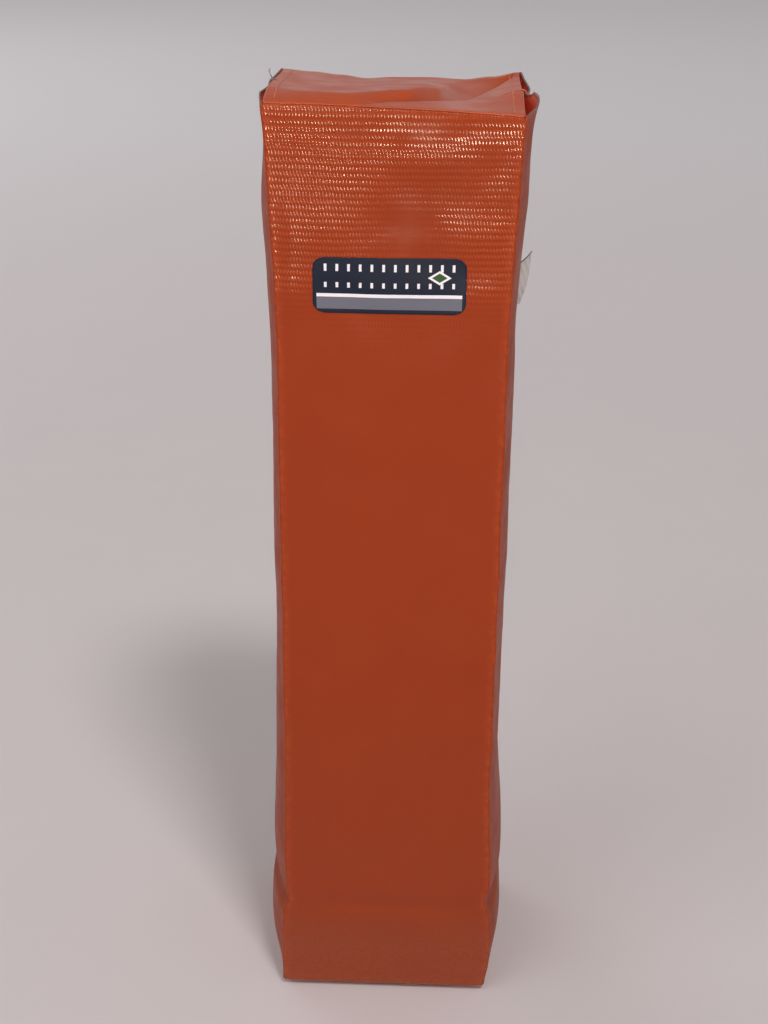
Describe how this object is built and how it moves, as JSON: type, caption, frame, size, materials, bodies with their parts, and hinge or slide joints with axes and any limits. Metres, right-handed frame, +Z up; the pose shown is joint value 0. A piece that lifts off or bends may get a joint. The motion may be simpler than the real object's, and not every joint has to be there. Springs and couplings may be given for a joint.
{
  "type": "football end zone pylon",
  "caption": "Soft weighted square column marking the corner of an end zone: sewn vinyl cover over a foam block, sand pouch in its foot.",
  "frame": {"origin": "middle of the flat base, on the ground", "axes": "+Z up the column, -Y out of the front face with the printed patch, +X towards the side with the open mouths and the label"},
  "size_m": [0.1271, 0.1126, 0.4667],
  "materials": {
    "orange_vinyl": "laminated vinyl scrim, half gloss",
    "orange_thread": "matte",
    "pale_thread": "matte",
    "foam": "open cell foam, matte",
    "pouch_cloth": "woven, matte",
    "sand": "grainy",
    "decal_film": "printed film, satin",
    "satin": "satin weave"
  },
  "bodies": {
    "pylon": {"front_panel": "orange_vinyl", "back_panel": "orange_vinyl", "left_side_panel": "orange_vinyl", "right_side_panel": "orange_vinyl", "top_panel": "orange_vinyl", "bottom_panel": "orange_vinyl", "foam_core": "foam", "sand_pouch_lower": "pouch_cloth", "sand_pouch_upper": "pouch_cloth", "sand_fill": "sand", "sand_pouch_thread": "pale_thread", "seam_thread_front_left": "orange_thread", "seam_thread_front_right": "orange_thread", "seam_thread_back_left": "orange_thread", "seam_thread_back_right": "orange_thread", "seam_thread_top_front": "orange_thread", "seam_thread_top_back": "orange_thread", "seam_thread_bottom": "orange_thread", "hem_thread_left": "orange_thread", "hem_thread_right": "orange_thread", "tack_thread_right": "orange_thread", "tack_thread_left": "pale_thread", "front_decal": "decal_film"},
    "label": {"care_label": "satin"}
  },
  "joints": [
    {"name": "label_swing", "type": "hinge", "parent": "pylon", "child": "label", "pos_m": [0.05006, 0.05005, 0.35204], "axis": [0, 0, 1], "range_deg": [-30, 60], "stiffness_Nm_per_rad": 0.00002}
  ]
}
